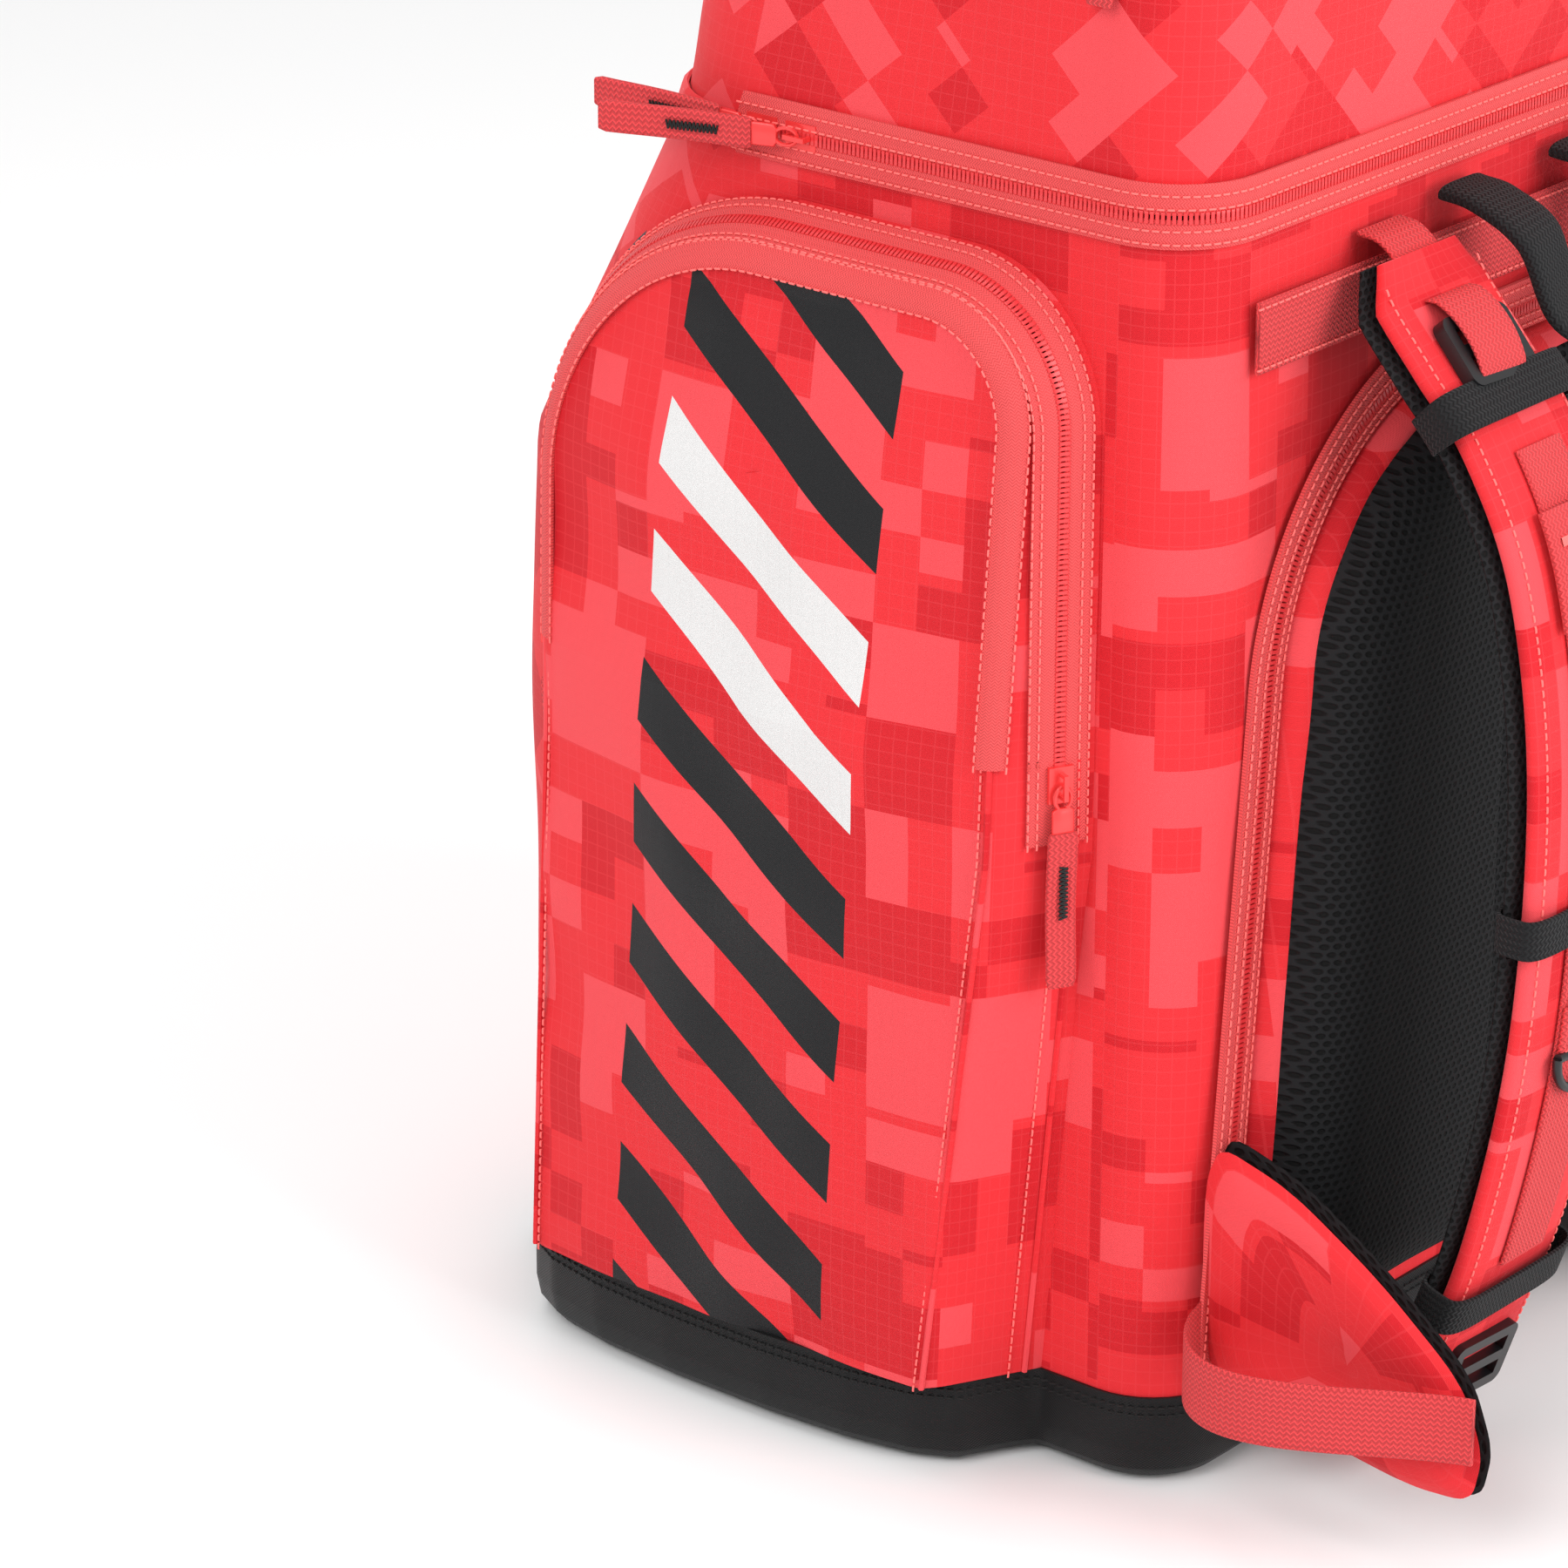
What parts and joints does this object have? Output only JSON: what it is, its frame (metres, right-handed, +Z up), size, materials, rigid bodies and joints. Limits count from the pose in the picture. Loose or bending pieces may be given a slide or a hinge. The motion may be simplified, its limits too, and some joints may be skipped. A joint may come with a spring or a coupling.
{
  "type": "ski boot bag",
  "caption": "Coral boot backpack with zipped side boot pockets, hinged helmet compartment, black base, mesh back panel, padded harness and hip wings.",
  "frame": {"origin": "middle of the main bag's footprint, on the floor", "axes": "+Z up, -Y the harness side that rests on the wearer's back, +Y the bag's front, -X the pocket on the wearer's left"},
  "size_m": [0.434, 0.4376, 0.658],
  "materials": {
    "shell_fabric": "coral ripstop with tonal square blocks",
    "base_fabric": "coated black oxford cloth",
    "inner_fabric": "dark lining on foam sheet",
    "zip_tape": "coral herringbone tape over a nylon coil",
    "webbing": "coral woven webbing",
    "air_mesh": "black open spacer mesh",
    "black_webbing": "black woven webbing",
    "black_plastic": "moulded acetal",
    "coral_metal": "coral lacquered die-cast zinc",
    "foam_board": "stiff foam-backed sheet"
  },
  "bodies": {
    "bag": {"base_tub": "base_fabric", "front_panel": "shell_fabric", "side_wall_left": "shell_fabric", "side_wall_right": "shell_fabric", "back_wall": "shell_fabric", "boot_dividers": "inner_fabric", "pocket_shell_left": "shell_fabric", "pocket_shell_right": "shell_fabric", "pocket_zip_body_tapes": "zip_tape", "main_zip_lower_tape": "zip_tape", "back_board": "foam_board", "back_mesh": "air_mesh", "back_zip_tapes": "zip_tape", "back_webbing": "webbing"},
    "lid": {"lid_shell": "shell_fabric", "lid_floor": "inner_fabric", "lid_zip_tapes": "zip_tape"},
    "cover": {"top_cover": "shell_fabric", "cover_zip_tape": "zip_tape"},
    "haul_handle": {"haul_handle": "black_webbing"},
    "back_slider": {"back_zip_slider": "coral_metal"},
    "back_pull": {"back_zip_pull": "coral_metal"},
    "door_left": {"pocket_door_left": "shell_fabric", "pocket_zip_door_tape_left": "zip_tape"},
    "pocket_slider_back_left": {"pocket_slider_back_left": "coral_metal"},
    "pocket_pull_back_left": {"pocket_pull_back_left": "coral_metal"},
    "pocket_slider_front_left": {"pocket_slider_front_left": "coral_metal"},
    "pocket_pull_front_left": {"pocket_pull_front_left": "coral_metal"},
    "door_right": {"pocket_door_right": "shell_fabric", "pocket_zip_door_tape_right": "zip_tape"},
    "pocket_slider_back_right": {"pocket_slider_back_right": "coral_metal"},
    "pocket_pull_back_right": {"pocket_pull_back_right": "coral_metal"},
    "pocket_slider_front_right": {"pocket_slider_front_right": "coral_metal"},
    "pocket_pull_front_right": {"pocket_pull_front_right": "coral_metal"},
    "main_slider_1": {"main_slider_1": "coral_metal"},
    "main_pull_1": {"main_pull_1": "coral_metal"},
    "main_slider_2": {"main_slider_2": "coral_metal"},
    "main_pull_2": {"main_pull_2": "coral_metal"},
    "top_slider_1": {"top_slider_1": "coral_metal"},
    "top_pull_1": {"top_pull_1": "coral_metal"},
    "top_slider_2": {"top_slider_2": "coral_metal"},
    "top_pull_2": {"top_pull_2": "coral_metal"},
    "strap_left": {"strap_pad_left": "shell_fabric", "strap_lining_left": "air_mesh", "strap_webbing_left": "webbing", "strap_keepers_left": "black_webbing", "strap_buckles_left": "black_plastic"},
    "d_ring_left": {"d_ring_left": "black_plastic"},
    "wing_left": {"hip_wing_left": "shell_fabric", "hip_wing_lining_left": "air_mesh", "hip_webbing_left": "webbing"},
    "strap_right": {"strap_pad_right": "shell_fabric", "strap_lining_right": "air_mesh", "strap_webbing_right": "webbing", "strap_keepers_right": "black_webbing", "strap_buckles_right": "black_plastic"},
    "d_ring_right": {"d_ring_right": "black_plastic"},
    "wing_right": {"hip_wing_right": "shell_fabric", "hip_wing_lining_right": "air_mesh", "hip_webbing_right": "webbing"}
  },
  "joints": [
    {"name": "lid_hinge", "type": "hinge", "parent": "bag", "child": "lid", "pos_m": [0, 0.092, 0.462], "axis": [-1, 0, 0], "range_deg": [0, 95]},
    {"name": "cover_hinge", "type": "hinge", "parent": "lid", "child": "cover", "pos_m": [0, 0.058, 0.602], "axis": [-1, 0, 0], "range_deg": [0, 100]},
    {"name": "door_hinge_left", "type": "hinge", "parent": "bag", "child": "door_left", "pos_m": [-0.21, 0, 0.27], "axis": [0, -1, 0], "range_deg": [0, 105]},
    {"name": "pocket_slide_back_left", "type": "slide", "parent": "bag", "child": "pocket_slider_back_left", "axis": [0, 0, -1], "range_m": [-0.065, 0]},
    {"name": "pocket_pull_swing_back_left", "type": "hinge", "parent": "pocket_slider_back_left", "child": "pocket_pull_back_left", "pos_m": [-0.18952, -0.11166, 0.2624], "axis": [-0.8944, 0.4472, 0], "range_deg": [0, 120]},
    {"name": "pocket_slide_front_left", "type": "slide", "parent": "bag", "child": "pocket_slider_front_left", "axis": [0, 0, -1], "range_m": [-0.065, 0]},
    {"name": "pocket_pull_swing_front_left", "type": "hinge", "parent": "pocket_slider_front_left", "child": "pocket_pull_front_left", "pos_m": [-0.18952, 0.11966, 0.2624], "axis": [0.8944, 0.4472, 0], "range_deg": [0, 120]},
    {"name": "door_hinge_right", "type": "hinge", "parent": "bag", "child": "door_right", "pos_m": [0.21, 0, 0.27], "axis": [0, 1, 0], "range_deg": [0, 105]},
    {"name": "pocket_slide_back_right", "type": "slide", "parent": "bag", "child": "pocket_slider_back_right", "axis": [0, 0, -1], "range_m": [-0.065, 0]},
    {"name": "pocket_pull_swing_back_right", "type": "hinge", "parent": "pocket_slider_back_right", "child": "pocket_pull_back_right", "pos_m": [0.18952, -0.11166, 0.2624], "axis": [-0.8944, -0.4472, 0], "range_deg": [0, 120]},
    {"name": "pocket_slide_front_right", "type": "slide", "parent": "bag", "child": "pocket_slider_front_right", "axis": [0, 0, -1], "range_m": [-0.065, 0]},
    {"name": "pocket_pull_swing_front_right", "type": "hinge", "parent": "pocket_slider_front_right", "child": "pocket_pull_front_right", "pos_m": [0.18952, 0.11966, 0.2624], "axis": [0.8944, -0.4472, 0], "range_deg": [0, 120]},
    {"name": "main_slide_1", "type": "slide", "parent": "bag", "child": "main_slider_1", "axis": [0, 1, 0], "range_m": [0, 0.004]},
    {"name": "main_pull_swing_1", "type": "hinge", "parent": "main_slider_1", "child": "main_pull_1", "pos_m": [-0.1794, 0.03, 0.462], "axis": [0, 0, 1], "range_deg": [0, 14]},
    {"name": "main_slide_2", "type": "slide", "parent": "bag", "child": "main_slider_2", "axis": [0, 1, 0], "range_m": [-0.11, 0]},
    {"name": "main_pull_swing_2", "type": "hinge", "parent": "main_slider_2", "child": "main_pull_2", "pos_m": [-0.1794, 0.013, 0.462], "axis": [0, 0, 1], "range_deg": [0, 120]},
    {"name": "top_slide_1", "type": "slide", "parent": "lid", "child": "top_slider_1", "axis": [0, 1, 0], "range_m": [0, 0.033]},
    {"name": "top_pull_swing_1", "type": "hinge", "parent": "top_slider_1", "child": "top_pull_1", "pos_m": [-0.1734, -0.112, 0.602], "axis": [0, 1, 0], "range_deg": [0, 130]},
    {"name": "top_slide_2", "type": "slide", "parent": "lid", "child": "top_slider_2", "axis": [0, 1, 0], "range_m": [0, 0.055]},
    {"name": "top_pull_swing_2", "type": "hinge", "parent": "top_slider_2", "child": "top_pull_2", "pos_m": [-0.1734, -0.062, 0.602], "axis": [0, 1, 0], "range_deg": [0, 130]},
    {"name": "back_slide", "type": "slide", "parent": "bag", "child": "back_slider", "axis": [-0.083, 0, 0.9965], "range_m": [-0.01, 0.03]},
    {"name": "back_pull_swing", "type": "hinge", "parent": "back_slider", "child": "back_pull", "pos_m": [0.1375, -0.1544, 0.244], "axis": [-0.9965, 0, -0.083], "range_deg": [0, 120]},
    {"name": "handle_swing", "type": "hinge", "parent": "bag", "child": "haul_handle", "pos_m": [0, -0.1558, 0.444], "axis": [-1, 0, 0], "range_deg": [0, 80]},
    {"name": "strap_swing_left", "type": "hinge", "parent": "bag", "child": "strap_left", "pos_m": [-0.076, -0.1665, 0.43], "axis": [-0.0523, 0.0206, -0.9984], "range_deg": [-8, 8]},
    {"name": "d_ring_swing_left", "type": "hinge", "parent": "strap_left", "child": "d_ring_left", "pos_m": [-0.08942, -0.25668, 0.17394], "axis": [-0.9986, 0, 0.0523], "range_deg": [0, 100]},
    {"name": "wing_hinge_left", "type": "hinge", "parent": "bag", "child": "wing_left", "pos_m": [-0.163, -0.1516, 0.042], "axis": [0, 0, -1], "range_deg": [0, 75]},
    {"name": "strap_swing_right", "type": "hinge", "parent": "bag", "child": "strap_right", "pos_m": [0.076, -0.1665, 0.43], "axis": [0.0523, 0.0206, -0.9984], "range_deg": [-8, 8]},
    {"name": "d_ring_swing_right", "type": "hinge", "parent": "strap_right", "child": "d_ring_right", "pos_m": [0.08942, -0.25668, 0.17394], "axis": [-0.9986, 0, -0.0523], "range_deg": [0, 100]},
    {"name": "wing_hinge_right", "type": "hinge", "parent": "bag", "child": "wing_right", "pos_m": [0.163, -0.1516, 0.042], "axis": [0, 0, 1], "range_deg": [0, 75]}
  ]
}
